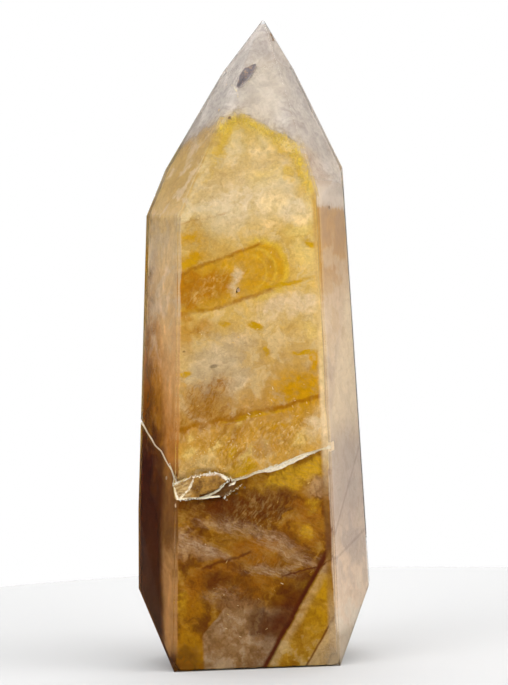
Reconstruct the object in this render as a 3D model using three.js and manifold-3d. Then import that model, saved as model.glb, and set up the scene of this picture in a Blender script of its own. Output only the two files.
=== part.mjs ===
// A golden healer quartz tower: one natural quartz crystal, ground flat and polished to an irregular
// six-sided column that ends in a six-sided point, on a flat sawn foot. It is all one piece of stone.
// Millimetres, +Z up, the front facet faces -Y, and the origin is the bottom centre of the stone's box.
// The facets are set out from the column's own axis, and the finished stone is moved by the small
// distance between the two.

import * as THREE from 'three';
import { ConvexGeometry } from 'three/addons/geometries/ConvexGeometry.js';
import { mergeVertices } from 'three/addons/utils/BufferGeometryUtils.js';
import Module from 'manifold-3d';

const wasm = await Module();
wasm.setup();

// Driving dimensions. A facet's bearing is in degrees from the front, to the right as seen from there.
// Its distance is from the axis, at the foot, and lean is how many degrees it tilts inwards going up.
const HEIGHT = 125;
const BODY = {
  front: { bearing: 0, distance: 16.5, lean: 1.95 },
  right: { bearing: 66.5, distance: 21.15, lean: 1.15 },
  backRight: { bearing: 120, distance: 20.4, lean: 1.85 },
  back: { bearing: 180, distance: 16.7, lean: 2 },
  backLeft: { bearing: -131, distance: 17.85, lean: 2.85 },
  left: { bearing: -62.3, distance: 21.5, lean: 3.3 },
  slimLeft: { bearing: -66, distance: 20.95, lean: 1.1 },
};

// Where the columns between two body facets end and the point begins, from the foot up.
const SHOULDER = {
  frontLeft: 86.3,
  frontRight: 88.5,
  right: 95.3,
  backRight: 91.5,
  backLeft: 90.5,
  left: 87.3,
};
const LEFT_NOTCH_HEIGHT = 96.7;
const APEX = new THREE.Vector3(6.1, 0.5, HEIGHT + 0.35);

// Where the two rear facets of each side break into a blunter facet just under the apex.
const LEFT_BREAK = { x: -1.5, z: 116.9 };
const RIGHT_BREAK = { x: 11.8, z: 115.2 };
const REAR_BREAK_HEIGHT = 119;
const APEX_WEAR = { bearing: 100, tilt: 25 };
const MIDDLE = new THREE.Vector3(0, 0, HEIGHT / 2);

// The bevels that narrow the foot, behind and at both sides.
const SIDE_BEVEL = { leftHeight: 14.1, rightHeight: 13.4, leftInset: -9, rightInset: 13, insetDepth: 12 };
const BACK_BEVEL = { bearing: 180, distance: 13.6, lean: -32 };

// How far a cutter stands proud of the face that it cuts, and the share of its width that a broken
// groove keeps at its floor.
const PROUD = 0.5;
const FLOOR_SHARE = 0.35;

// The side of the rough block and of each block of waste, and the distance at which corners are one.
const ROUGH_SIDE = 2.5 * HEIGHT;
const WELD = 1e-5;

function degrees(angle) {
  return THREE.MathUtils.degToRad(angle);
}

function facetPlane({ bearing, distance, lean }) {
  const facing = new THREE.Vector3(Math.sin(degrees(bearing)), -Math.cos(degrees(bearing)), 0);
  const normal = facing.multiplyScalar(Math.cos(degrees(lean)));
  normal.z = Math.sin(degrees(lean));
  return new THREE.Plane(normal, -distance * Math.cos(degrees(lean)));
}

function planeThrough(a, b, c) {
  const plane = new THREE.Plane().setFromCoplanarPoints(a, b, c);
  return plane.distanceToPoint(MIDDLE) > 0 ? plane.negate() : plane;
}

// The one point that three planes share.
function meet(a, b, c) {
  const rows = new THREE.Matrix3();
  rows.set(...a.normal.toArray(), ...b.normal.toArray(), ...c.normal.toArray());
  return new THREE.Vector3(-a.constant, -b.constant, -c.constant).applyMatrix3(rows.invert());
}

function level(height) {
  return new THREE.Plane(new THREE.Vector3(0, 0, 1), -height);
}

// A point of a facet from two of its coordinates: the third, named by axis, follows from the plane.
function onFacet(plane, axis, position) {
  const place = new THREE.Vector3(...position);
  place[axis] = 0;
  place[axis] = -plane.distanceToPoint(place) / plane.normal[axis];
  return place;
}

const body = Object.fromEntries(Object.entries(BODY).map(([name, facet]) => [name, facetPlane(facet)]));

// The point's facets. The left one reaches past its column, so the facet behind it starts higher, at a
// notch. The two rear facets stop short of the apex, and a small blunt facet takes each one up to it.
function pointPlanes() {
  const frontLeft = meet(body.front, body.left, level(SHOULDER.frontLeft));
  const frontRight = meet(body.front, body.right, level(SHOULDER.frontRight));
  const left = meet(body.left, body.backLeft, level(SHOULDER.left));
  const right = meet(body.right, body.backRight, level(SHOULDER.right));
  const backLeft = meet(body.backLeft, body.back, level(SHOULDER.backLeft));
  const backRight = meet(body.backRight, body.back, level(SHOULDER.backRight));
  const tipLeft = planeThrough(APEX, frontLeft, left);
  const tipRight = planeThrough(APEX, frontRight, right);
  const tipBack = planeThrough(APEX, backRight, backLeft);
  const notch = meet(tipLeft, body.backLeft, level(LEFT_NOTCH_HEIGHT));
  const leftBreak = onFacet(tipLeft, 'y', [LEFT_BREAK.x, 0, LEFT_BREAK.z]);
  const rightBreak = onFacet(tipRight, 'y', [RIGHT_BREAK.x, 0, RIGHT_BREAK.z]);
  const tipBackLeft = planeThrough(leftBreak, backLeft, notch);
  const tipBackRight = planeThrough(rightBreak, right, backRight);
  const rear = level(REAR_BREAK_HEIGHT);
  return {
    tipFront: planeThrough(APEX, frontLeft, frontRight),
    tipRight,
    tipBackRight,
    tipBack,
    tipBackLeft,
    tipLeft,
    bluntLeft: planeThrough(APEX, leftBreak, meet(tipBackLeft, tipBack, rear)),
    bluntRight: planeThrough(APEX, rightBreak, meet(tipBackRight, tipBack, rear)),
  };
}

function footPlanes() {
  const ground = level(0);
  const frontLeft = meet(body.front, body.slimLeft, ground);
  const frontRight = meet(body.front, body.right, ground);
  const left = meet(body.slimLeft, body.backLeft, level(SIDE_BEVEL.leftHeight));
  const right = meet(body.right, body.backRight, level(SIDE_BEVEL.rightHeight));
  const innerLeft = new THREE.Vector3(SIDE_BEVEL.leftInset, SIDE_BEVEL.insetDepth, 0);
  const innerRight = new THREE.Vector3(SIDE_BEVEL.rightInset, SIDE_BEVEL.insetDepth, 0);
  return {
    foot: ground.clone().negate(),
    bevelLeft: planeThrough(frontLeft, left, innerLeft),
    bevelRight: planeThrough(frontRight, right, innerRight),
    bevelBack: facetPlane(BACK_BEVEL),
  };
}

function apexWear() {
  const { bearing, tilt } = APEX_WEAR;
  const normal = new THREE.Vector3(Math.sin(degrees(bearing)), -Math.cos(degrees(bearing)), 0);
  normal.multiplyScalar(Math.sin(degrees(tilt)));
  normal.z = Math.cos(degrees(tilt));
  const worn = new THREE.Vector3(APEX.x, APEX.y, HEIGHT);
  return new THREE.Plane().setFromNormalAndCoplanarPoint(normal, worn);
}

const point = pointPlanes();
const planes = { ...body, ...point, ...footPlanes(), apexWear: apexWear() };

// A closed solid from a geometry, whichever way its faces were wound.
function solid(geometry) {
  const bare = new THREE.BufferGeometry();
  bare.setAttribute('position', geometry.getAttribute('position').clone());
  bare.setIndex(geometry.getIndex());
  const merged = mergeVertices(bare, WELD);
  const vertProperties = new Float32Array(merged.getAttribute('position').array);
  const triVerts = new Uint32Array(merged.getIndex().array);
  return new wasm.Manifold(new wasm.Mesh({ numProp: 3, vertProperties, triVerts }));
}

// The block of waste outside a plane, which grinding the facet takes away.
function waste(plane) {
  const block = new THREE.BoxGeometry(ROUGH_SIDE, ROUGH_SIDE, ROUGH_SIDE);
  block.translate(0, 0, ROUGH_SIDE / 2);
  block.applyQuaternion(new THREE.Quaternion().setFromUnitVectors(new THREE.Vector3(0, 0, 1), plane.normal));
  const start = plane.projectPoint(MIDDLE, new THREE.Vector3());
  block.translate(start.x, start.y, start.z);
  return solid(block);
}

function polishedTower() {
  const rough = new THREE.BoxGeometry(ROUGH_SIDE, ROUGH_SIDE, ROUGH_SIDE);
  return Object.values(planes).reduce((stone, plane) => stone.subtract(waste(plane)), solid(rough));
}

// Broken grooves: each step of a path is a place on the facet, half the width there and the depth.
// The crack crosses the front, climbing to the right, and the left facet, climbing towards the back.
const FRONT_CRACK = [
  { x: -3.4, z: 35.6, half: 0.16, depth: 0.5 },
  { x: -2.4, z: 35.9, half: 0.2, depth: 0.6 },
  { x: -0.5, z: 36.2, half: 0.17, depth: 0.55 },
  { x: 1.2, z: 37.0, half: 0.22, depth: 0.5 },
  { x: 2.8, z: 37.3, half: 0.26, depth: 0.55 },
  { x: 4.0, z: 37.4, half: 0.42, depth: 0.7 },
  { x: 4.9, z: 37.6, half: 0.38, depth: 0.6 },
  { x: 6.1, z: 38.0, half: 0.48, depth: 0.75 },
  { x: 7.4, z: 38.6, half: 0.4, depth: 0.6 },
  { x: 8.3, z: 38.9, half: 0.46, depth: 0.7 },
  { x: 9.2, z: 39.4, half: 0.42, depth: 0.65 },
  { x: 10.1, z: 39.7, half: 0.45, depth: 0.7 },
  { x: 10.9, z: 40.1, half: 0.3, depth: 0.55 },
  { x: 12.7, z: 40.6, half: 0.2, depth: 0.5 },
  { x: 14.0, z: 41.0, half: 0.14, depth: 0.45 },
  { x: 15.7, z: 41.4, half: 0.12, depth: 0.4 },
];
const LEFT_CRACK = [
  { y: 0.3, z: 47.6, half: 0.16, depth: 0.4 },
  { y: -0.9, z: 46.8, half: 0.36, depth: 0.6 },
  { y: -1.9, z: 46.1, half: 0.24, depth: 0.5 },
  { y: -3.6, z: 44.7, half: 0.17, depth: 0.5 },
  { y: -5.1, z: 43.7, half: 0.22, depth: 0.55 },
  { y: -6.6, z: 42.5, half: 0.16, depth: 0.5 },
  { y: -9.1, z: 41.5, half: 0.15, depth: 0.5 },
  { y: -10.8, z: 40.0, half: 0.2, depth: 0.5 },
  { y: -12.0, z: 39.0, half: 0.15, depth: 0.5 },
  { y: -13.4, z: 38.1, half: 0.22, depth: 0.55 },
  { y: -14.5, z: 36.6, half: 0.17, depth: 0.6 },
  { y: -16.2, z: 35.4, half: 0.24, depth: 0.7 },
];
const BACK_LEFT_CRACK = [
  { y: -1.4, z: 46.6, half: 0.2, depth: 0.45 },
  { y: 0.6, z: 47.4, half: 0.16, depth: 0.4 },
  { y: 2.1, z: 48.6, half: 0.12, depth: 0.35 },
  { y: 3.4, z: 49.1, half: 0.14, depth: 0.3 },
  { y: 5.6, z: 50.7, half: 0.06, depth: 0.15 },
];

function grooveRing(plane, place, along, { half, depth }) {
  const side = new THREE.Vector3().crossVectors(plane.normal, along).normalize();
  const at = (across, out) => place.clone().addScaledVector(side, across).addScaledVector(plane.normal, out);
  return [
    at(half, PROUD),
    at(-half, PROUD),
    at(-half, 0),
    at(-half * FLOOR_SHARE, -depth),
    at(half * FLOOR_SHARE, -depth),
    at(half, 0),
  ];
}

// A closed skin over rings of equal count, one after the other, with a fan at each end.
function skin(rings) {
  const count = rings[0].length;
  const index = [];
  for (let ring = 0; ring + 1 < rings.length; ring += 1) {
    for (let side = 0; side < count; side += 1) {
      const a = ring * count + side;
      const b = ring * count + ((side + 1) % count);
      index.push(a, b, b + count, a, b + count, a + count);
    }
  }
  const last = (rings.length - 1) * count;
  for (let corner = 1; corner + 1 < count; corner += 1) {
    index.push(0, corner + 1, corner, last, last + corner, last + corner + 1);
  }
  const geometry = new THREE.BufferGeometry().setFromPoints(rings.flat());
  geometry.setIndex(index);
  return geometry;
}

function groove(plane, axis, path) {
  const places = path.map(({ x = 0, y = 0, z }) => onFacet(plane, axis, [x, y, z]));
  const rings = places.map((place, step) => {
    const before = places[Math.max(step - 1, 0)];
    const after = places[Math.min(step + 1, places.length - 1)];
    return grooveRing(plane, place, after.clone().sub(before), path[step]);
  });
  return solid(skin(rings));
}

// The chipped hollow where the crack meets the front left column: flakes have broken off above the
// crack, deepest along its lower lip. Each flake is [x, z, depth] on the front facet.
const UPPER_LEFT_FLAKE = [
  [-13.4, 35.2, 0],
  [-12.3, 36.1, 0],
  [-10.8, 36.9, 0],
  [-9.6, 36.9, 0],
  [-9.2, 34.4, 0.75],
  [-11.6, 33.4, 1.0],
  [-12.9, 33.2, 0.95],
  [-12.6, 32.6, 0.5],
  [-9.6, 32.7, 0.45],
];
const BOWL_FLAKE = [
  [-10.2, 37.0, 0],
  [-8.1, 37.2, 0],
  [-6.1, 37.3, 0],
  [-5.0, 37.0, 0],
  [-3.9, 36.1, 0.1],
  [-5.7, 34.4, 0.6],
  [-8.6, 33.3, 1.15],
  [-10.4, 33.2, 0.9],
  [-10.6, 35.0, 0.6],
];
const LOWER_FLAKE = [
  [-9.9, 32.4, 0.1],
  [-6.8, 32.6, 0],
  [-4.5, 32.8, 0],
  [-3.1, 33.9, 0.1],
  [-2.5, 35.6, 0.1],
  [-5.5, 34.2, 0.75],
  [-8.4, 33.2, 1.1],
  [-6.4, 33.1, 0.95],
];
const CORNER_FLAKE = [
  [-15.1, 35.6, 0],
  [-15.2, 34.0, 0],
  [-14.0, 32.4, 0],
  [-11.9, 32.5, 0.1],
  [-12.0, 33.2, 1.05],
  [-13.2, 35.9, 0.2],
  [-13.4, 33.6, 1.3],
];

function flake(plane, corners) {
  const hull = corners.flatMap(([x, z, depth]) => {
    const place = onFacet(plane, 'y', [x, 0, z]);
    return [place.clone().addScaledVector(plane.normal, PROUD), place.addScaledVector(plane.normal, -depth)];
  });
  return solid(new ConvexGeometry(hull));
}

// The open pit on the point, just right of its front left edge: two hollows run into one another,
// again as [x, z, depth].
const UPPER_PIT = [
  [4.4, 116.1, 0],
  [3.1, 115.5, 0],
  [2.0, 115.3, 0],
  [0.9, 113.6, 0],
  [2.4, 112.9, 0],
  [3.8, 114.3, 0],
  [2.6, 114.4, 0.85],
  [1.7, 113.7, 0.8],
];
const LOWER_PIT = [
  [1.2, 114.1, 0],
  [0.3, 111.4, 0],
  [0.8, 111.2, 0],
  [2.4, 112.9, 0],
  [1.8, 113.5, 0.75],
  [0.9, 112.1, 0.6],
];

// Small bruises on edges and faces: [centre], [half sizes], and a turn about the vertical in degrees.
const BRUISES = [
  { at: [-14.4, -15.5, 31.4], size: [0.5, 0.4, 0.6], turn: 20 },
  { at: [-15.8, -11.5, 36.4], size: [0.35, 0.4, 0.4], turn: 50 },
  { at: [-13.6, -14.6, 52.6], size: [0.35, 0.35, 1.1], turn: 35 },
  { at: [15.3, -15.1, 41.3], size: [0.5, 0.45, 0.4], turn: 30 },
  { at: [15.2, -15.3, 36.6], size: [0.35, 0.35, 0.8], turn: 15 },
  { at: [-0.7, -14.1, 71.7], size: [0.35, 0.3, 0.45], turn: 10 },
  { at: [-4.9, -13.4, 88.2], size: [1.3, 0.25, 0.3], turn: 0 },
  { at: [-1.2, -6.6, 105.3], size: [0.3, 0.35, 0.35], turn: 40 },
  { at: [17.3, -8.8, 87.1], size: [0.35, 0.6, 0.5], turn: -20 },
  { at: [-16.7, 1.4, 91.2], size: [0.4, 0.5, 0.9], turn: 40 },
  { at: [23.0, 0.3, 13.5], size: [0.45, 0.6, 0.7], turn: 15 },
  { at: [7.7, 0.0, 121.7], size: [0.45, 0.8, 1.2], turn: 25 },
  { at: [-4.4, -15.5, 32.1], size: [0.3, 0.3, 0.25], turn: 5 },
  { at: [-2.5, -15.4, 33.2], size: [0.35, 0.3, 0.2], turn: 45 },
  { at: [-0.9, -15.4, 34.3], size: [0.25, 0.3, 0.25], turn: 60 },
  { at: [13.9, 15.7, 60.5], size: [0.4, 0.4, 0.9], turn: 30 },
  { at: [-7.2, 13.2, 90.4], size: [0.7, 0.5, 0.4], turn: 55 },
];

function bruise({ at, size, turn }) {
  const gouge = new THREE.IcosahedronGeometry(1, 0);
  gouge.scale(...size);
  gouge.rotateZ(degrees(turn));
  gouge.translate(...at);
  return solid(gouge);
}

function damage() {
  return [
    groove(body.front, 'y', FRONT_CRACK),
    groove(body.left, 'x', LEFT_CRACK),
    groove(body.backLeft, 'x', BACK_LEFT_CRACK),
    flake(body.front, UPPER_LEFT_FLAKE),
    flake(body.front, BOWL_FLAKE),
    flake(body.front, LOWER_FLAKE),
    flake(body.front, CORNER_FLAKE),
    flake(point.tipFront, UPPER_PIT),
    flake(point.tipFront, LOWER_PIT),
    ...BRUISES.map(bruise),
  ];
}

function quartz() {
  return new THREE.MeshStandardMaterial({ color: 0xc99a4a, roughness: 0.12, metalness: 0 });
}

function quartzTower() {
  const stone = damage().reduce((tower, cutter) => tower.subtract(cutter), polishedTower());
  const { vertProperties, triVerts } = stone.getMesh();
  const geometry = new THREE.BufferGeometry();
  geometry.setAttribute('position', new THREE.BufferAttribute(new Float32Array(vertProperties), 3));
  geometry.setIndex(new THREE.BufferAttribute(new Uint32Array(triVerts), 1));
  geometry.computeBoundingBox();
  const middle = geometry.boundingBox.getCenter(new THREE.Vector3());
  geometry.translate(-middle.x, -middle.y, 0);
  const mesh = new THREE.Mesh(geometry, quartz());
  mesh.name = 'quartz_tower';
  return mesh;
}

const tower = new THREE.Group();
tower.add(quartzTower());

export default tower;
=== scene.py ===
import functools
import math
import random

import bpy
import numpy as np
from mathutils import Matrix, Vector, noise


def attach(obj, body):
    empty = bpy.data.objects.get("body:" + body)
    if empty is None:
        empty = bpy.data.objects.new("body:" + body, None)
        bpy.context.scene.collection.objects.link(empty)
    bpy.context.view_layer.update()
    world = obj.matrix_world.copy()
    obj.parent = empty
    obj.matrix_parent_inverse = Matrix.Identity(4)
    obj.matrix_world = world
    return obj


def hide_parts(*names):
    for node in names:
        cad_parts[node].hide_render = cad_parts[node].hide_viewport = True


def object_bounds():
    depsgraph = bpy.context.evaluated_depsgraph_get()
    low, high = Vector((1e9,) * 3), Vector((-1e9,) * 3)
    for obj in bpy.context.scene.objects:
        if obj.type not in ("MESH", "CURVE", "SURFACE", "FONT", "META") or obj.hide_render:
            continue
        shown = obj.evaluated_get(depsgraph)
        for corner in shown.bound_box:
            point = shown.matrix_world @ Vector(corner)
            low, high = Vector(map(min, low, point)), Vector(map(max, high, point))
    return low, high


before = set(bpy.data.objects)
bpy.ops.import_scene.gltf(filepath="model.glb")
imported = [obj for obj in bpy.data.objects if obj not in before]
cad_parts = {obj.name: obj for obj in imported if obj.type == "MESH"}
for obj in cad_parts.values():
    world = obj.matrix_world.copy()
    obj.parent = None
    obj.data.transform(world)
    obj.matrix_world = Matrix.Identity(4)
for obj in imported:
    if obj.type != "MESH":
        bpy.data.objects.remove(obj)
cad_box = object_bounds()


# The polished skin of the tower: one quartz crystal, sawn off at the foot and ground flat by hand on
# every side, so that its facets meet in crisp edges that the polishing has only just rounded.
# The facets are found as the flat faces of the solid that nothing else of it stands outside.
MM = 0.001
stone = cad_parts["quartz_tower"]
FLATNESS = 0.004 * MM
CUT = 0.001 * MM
SAME_FACET = 0.9995
BLOCK = 400 * MM
POLISHED, BROKEN = 0, 1


def flat_facets(mesh):
    """The facing and reach of each facet, the largest first."""
    corners = np.array([vertex.co[:] for vertex in mesh.vertices])
    found = []
    for face in sorted(mesh.polygons, key=lambda polygon: -polygon.area):
        normal = face.normal.copy()
        reach = normal.dot(face.center)
        known = any(normal.dot(n) > SAME_FACET for n, d in found)
        if not known and (corners @ np.array(normal)).max() < reach + FLATNESS:
            found.append((normal, reach))
    return found


facets = flat_facets(stone.data)


def add_to_scene(thing):
    bpy.context.scene.collection.objects.link(thing)


def choose(thing):
    """Leaves this object alone selected, and active."""
    bpy.ops.object.select_all(action="DESELECT")
    thing.select_set(True)
    bpy.context.view_layer.objects.active = thing


def finish_with(thing, kind, **settings):
    """Adds a modifier, sets it and makes it part of the mesh."""
    choose(thing)
    change = thing.modifiers.new(kind.title(), kind)
    for name, value in settings.items():
        setattr(change, name, value)
    bpy.ops.object.modifier_apply(modifier=change.name)


def cut_off(spot, outward):
    """Cuts what is selected off flat past this place, and closes the cut."""
    bpy.ops.mesh.bisect(plane_co=spot, plane_no=outward, clear_outer=True, use_fill=True, threshold=CUT)


def ground_block(name, planes):
    """A block ground flat along each of these planes."""
    bpy.ops.object.select_all(action="DESELECT")
    bpy.ops.mesh.primitive_cube_add(size=BLOCK)
    block = bpy.context.object
    block.name = block.data.name = name
    bpy.ops.object.mode_set(mode="EDIT")
    for normal, reach in planes:
        bpy.ops.mesh.select_all(action="SELECT")
        cut_off(normal * reach, normal)
    bpy.ops.object.mode_set(mode="OBJECT")
    return block


def merged_copy(node, name):
    """A copy of a CAD node that stands by itself, with the corners that its triangles share merged."""
    piece = node.copy()
    piece.data = node.data.copy()
    piece.name = piece.data.name = name
    piece.parent = None
    for key in list(piece.keys()):
        del piece[key]
    add_to_scene(piece)
    choose(piece)
    bpy.ops.object.mode_set(mode="EDIT")
    bpy.ops.mesh.select_all(action="SELECT")
    bpy.ops.mesh.remove_doubles(threshold=CUT)
    bpy.ops.object.mode_set(mode="OBJECT")
    return piece


EDGE_ROUND = 0.05 * MM
EDGE_STEPS = 3
EDGE_FROM = math.radians(12)
skin = ground_block("polished_quartz", facets)
finish_with(skin, "BEVEL", width=EDGE_ROUND, segments=EDGE_STEPS, limit_method="ANGLE", angle_limit=EDGE_FROM)

# The damage is carried over from the solid: a merged copy of it, a hair larger all round so that its
# facets stand clear of the skin's, is what the skin is cut down to.
CLEARANCE = 1.0008
damage = merged_copy(stone, "damage")
middle = (cad_box[0] + cad_box[1]) / 2
for vertex in damage.data.vertices:
    vertex.co = middle + (vertex.co - middle) * CLEARANCE
damage.data.materials.clear()


class Field:
    """A value, colour or place that varies through the stone, as the socket that carries it."""

    def __init__(self, socket):
        self.socket = socket

    def make(self, kind, sockets, settings=(), output=0):
        """A node with these settings and inputs, and its output as a field."""
        tree = self.socket.id_data
        node = tree.nodes.new(kind)
        for name, value in dict(settings).items():
            if name == "stops":
                ramp = node.color_ramp
                while len(ramp.elements) < len(value):
                    ramp.elements.new(0.5)
                for stop, (position, colour) in zip(ramp.elements, value):
                    stop.position = position
                    stop.color = (*colour, 1)
            else:
                setattr(node, name, value)
        for name, value in dict(sockets).items():
            if isinstance(value, Field):
                tree.links.new(value.socket, node.inputs[name])
            else:
                node.inputs[name].default_value = value
        return Field(node.outputs[output])

    def _sum(self, operation, first, second):
        vector = any(
            isinstance(side, (tuple, Vector)) or isinstance(side, Field) and side.socket.type != "VALUE"
            for side in (first, second)
        )
        if not vector:
            return self.make("ShaderNodeMath", {0: first, 1: second}, {"operation": operation})
        sides = [(s, s, s) if isinstance(s, (int, float)) else s for s in (first, second)]
        return self.make("ShaderNodeVectorMath", {0: sides[0], 1: sides[1]}, {"operation": operation})

    def __add__(self, other):
        return self._sum("ADD", self, other)

    __radd__ = __add__

    def __sub__(self, other):
        return self._sum("SUBTRACT", self, other)

    def __rsub__(self, other):
        return self._sum("SUBTRACT", other, self)

    def __mul__(self, other):
        return self._sum("MULTIPLY", self, other)

    __rmul__ = __mul__

    def __abs__(self):
        return self.make("ShaderNodeMath", {0: self}, {"operation": "ABSOLUTE"})

    def either(self, other):
        return self._sum("MAXIMUM", self, other)

    def least(self, other):
        return self._sum("MINIMUM", self, other)

    def along(self, direction):
        """How far this place lies in a direction."""
        sockets = {0: self, 1: tuple(direction)}
        return self.make("ShaderNodeVectorMath", sockets, {"operation": "DOT_PRODUCT"}, "Value")

    def rise(self, low, high, top=1):
        """0 up to low and top from high on, with a soft slope between. With low over high it falls."""
        sockets = {"Value": self, "From Min": low, "From Max": high, "To Min": 0, "To Max": top}
        return self.make("ShaderNodeMapRange", sockets, {"interpolation_type": "SMOOTHSTEP"})

    def grain(self, size, detail=4, rough=0.55, twist=0, colour=False):
        """Cloudy noise whose lumps are about this size."""
        sockets = {"Vector": self, "Scale": 1 / size, "Detail": detail, "Roughness": rough}
        return self.make("ShaderNodeTexNoise", {**sockets, "Distortion": twist}, output=1 if colour else 0)

    def sway(self, size, reach, detail=4, rough=0.55):
        """Which way, and how far, noise of this size moves this place."""
        return (self.grain(size, detail, rough, colour=True) - 0.5) * reach

    def ridges(self, size, detail=5, rough=0.6):
        """Noise that runs in sharp bright creases, from about 0.5 to 2.2."""
        sockets = {"Vector": self, "Scale": 1 / size, "Detail": detail, "Roughness": rough}
        return self.make("ShaderNodeTexNoise", sockets, {"noise_type": "RIDGED_MULTIFRACTAL"})

    def stretched(self, turn, longer):
        """This place squeezed, so that a pattern on it runs in streaks at this turn seen from the front."""
        sockets = {"Vector": self, "Rotation": (0, -math.radians(turn), 0), "Scale": (longer, 1, 1)}
        return self.make("ShaderNodeMapping", sockets, {"vector_type": "TEXTURE"})

    def inward(self, centre, reach, turn):
        """1 at the centre of a lens of these half sizes, falling to 0 at its rim. The turn is seen from
        the front."""
        turned = (0, -math.radians(turn), 0)
        sockets = {"Vector": self, "Location": centre, "Rotation": turned, "Scale": reach}
        inside = self.make("ShaderNodeMapping", sockets, {"vector_type": "TEXTURE"})
        settings = {"gradient_type": "SPHERICAL"}
        return inside.make("ShaderNodeTexGradient", {"Vector": inside}, settings, "Fac")

    def patch(self, centre, half, turn=0, edge=0.35):
        """1 inside a lens-shaped patch and 0 outside it."""
        reach = tuple(side * (1 + edge) for side in half)
        return self.inward(centre, reach, turn).rise(0, 2 * edge / (1 + edge))

    def ring(self, centre, half, turn, wide):
        """1 on a lens-shaped curve of these half sizes, fading out across this width in millimetres."""
        reach = tuple(side * 2 for side in half)
        return abs(self.inward(centre, reach, turn) - 0.5).rise(wide / (2 * half[0]), 0)

    def tinted(self, colour):
        """This strength of a plain colour."""
        return self.make("ShaderNodeVectorMath", {0: colour, "Scale": self}, {"operation": "SCALE"})

    def blend(self, other, share):
        """This colour with some of another in it."""
        tree = self.socket.id_data
        node = tree.nodes.new("ShaderNodeMix")
        node.data_type = "RGBA"
        for name, value in (("Factor", share), ("A", self), ("B", other)):
            slot = next(s for s in node.inputs if s.name == name and s.enabled)
            if isinstance(value, Field):
                tree.links.new(value.socket, slot)
            else:
                slot.default_value = (*value, 1) if isinstance(value, tuple) else value
        return Field(next(s for s in node.outputs if s.enabled))


def new_finish(name, settings):
    """A material with these plain values on its shader, that shader, and the place in millimetres."""
    finish = bpy.data.materials.new(name)
    finish.use_nodes = True
    shader = finish.node_tree.nodes["Principled BSDF"]
    for socket, value in settings.items():
        shader.inputs[socket].default_value = (*value, 1) if isinstance(value, tuple) else value
    spot = Field(finish.node_tree.nodes.new("ShaderNodeTexCoord").outputs["Object"])
    return finish, shader, spot * (1 / MM)


def feed(shader, **fields):
    """Links these fields to the shader's sockets of the same names."""
    for name, field in fields.items():
        shader.id_data.links.new(field.socket, shader.inputs[name.replace("_", " ")])


def bumped(field, height):
    """The normal that a surface gets from a height in millimetres."""
    return field.make("ShaderNodeBump", {"Height": field, "Distance": height * MM}, output="Normal")


TORN = "torn"
QUARTZ_IOR = 1.544
X, Y, Z = (1, 0, 0), (0, 1, 0), (0, 0, 1)
plain = {"Base Color": (1, 1, 1), "Roughness": 0.02, "IOR": QUARTZ_IOR, "Transmission Weight": 1}
clear, clear_shader, place = new_finish("clear_quartz", plain)
hand_polish = place.grain(9, 2) + place.grain(2.5, 2) * 0.12
scratches = place.stretched(24, 12).grain(0.4, 3).rise(0.62, 0.8)
feed(clear_shader, Normal=bumped(hand_polish, 0.12), Roughness=place.grain(3) * 0.03 + scratches * 0.03)
absorbing = clear.node_tree.nodes.new("ShaderNodeVolumeAbsorption")
absorbing.inputs["Color"].default_value = (0.92, 0.87, 0.8, 1)
absorbing.inputs["Density"].default_value = 10
output = clear.node_tree.nodes["Material Output"]
clear.node_tree.links.new(absorbing.outputs["Volume"], output.inputs["Volume"])

# Where the stone is broken it is white and crumbly in the cracks, golden brown in the hollow and grey
# in the pit. In the hollow the pale ripples on the left are painted glints, and the lower right is darkened
# as painted shadow; the pit's grey is partly painted shade in its hollow. The sheet that the open crack
# runs along meets the front at this level.
CRACK_LEVEL = 36.5 + 0.86 * 13.9
broken, broken_shader, place = new_finish("broken_quartz", {"IOR": QUARTZ_IOR, "Specular IOR Level": 0.3})
crumb = place.grain(0.45, 6, 0.7).rise(0.3, 0.7)
ripple = place.stretched(15, 3).grain(0.5, 3)
stained = place.grain(1.5, 5, 0.6).rise(0.35, 0.65)
hollow = (place + place.sway(1.2, 1.2, 3)).patch((-8.6, -15.2, 34.9), (8.6, 6, 3.4), 0, 0.2)
chip = place.along((-0.3, -0.86, 1)) - CRACK_LEVEL
chip = abs(chip).rise(2.2, 3.2) * place.along(X).rise(-12.5, -11.5)
pit = place.patch((2.35, -3.5, 113.65), (3.6, 5, 1.5), 52, 0.2)
torn = place.make("ShaderNodeAttribute", {}, {"attribute_name": TORN}, "Fac")
tone = stained.tinted((0.2, 0.16, 0.1)) + (0.42, 0.28, 0.16)
tone = tone.blend((0.72 + crumb * 0.24).tinted((1, 0.89, 0.68)), torn.rise(0.3, 0.7))
tone = tone.blend((0.45, 0.3, 0.2), chip * 0.7)
bowl = stained.tinted((0.27, 0.155, 0.028)) + (0.13, 0.05, 0.004)
# Painted glints: pale ripples on the left of the hollow.
painted_glints = place.along(X).rise(-10.8, -11.8) * (0.2 + ripple.rise(0.4, 0.6) * 0.7)
bowl = bowl.blend((0.58, 0.4, 0.17), painted_glints)
# Painted shadow in the lower right of the hollow.
bowl = bowl.blend((0.09, 0.032, 0.003), place.along((0.64, 0, -0.77)).rise(-30.4, -29.8) * 0.9)
tone = tone.blend(bowl, hollow * (torn + crumb * 0.3).rise(0.85, 0.5))
# The pit's grey is partly painted shade in its hollow.
tone = tone.blend((0.2, 0.175, 0.185), pit * crumb.rise(0.95, 0.6))
feed(
    broken_shader,
    Base_Color=tone,
    Roughness=0.22 + crumb * 0.3,
    Normal=bumped(crumb + ripple * 0.6, 0.25),
)

ON_FACET = 0.1 * MM
for piece in (skin, damage):
    piece.data.materials.append(clear)
    piece.data.materials.append(broken)
for face in damage.data.polygons:
    outward = face.normal
    reach = outward.dot(face.center)
    on_facet = any(outward.dot(n) > SAME_FACET and abs(reach - d) < ON_FACET for n, d in facets)
    face.material_index = POLISHED if on_facet else BROKEN
finish_with(skin, "BOOLEAN", operation="INTERSECT", object=damage, solver="EXACT")
bpy.data.objects.remove(damage)

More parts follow.
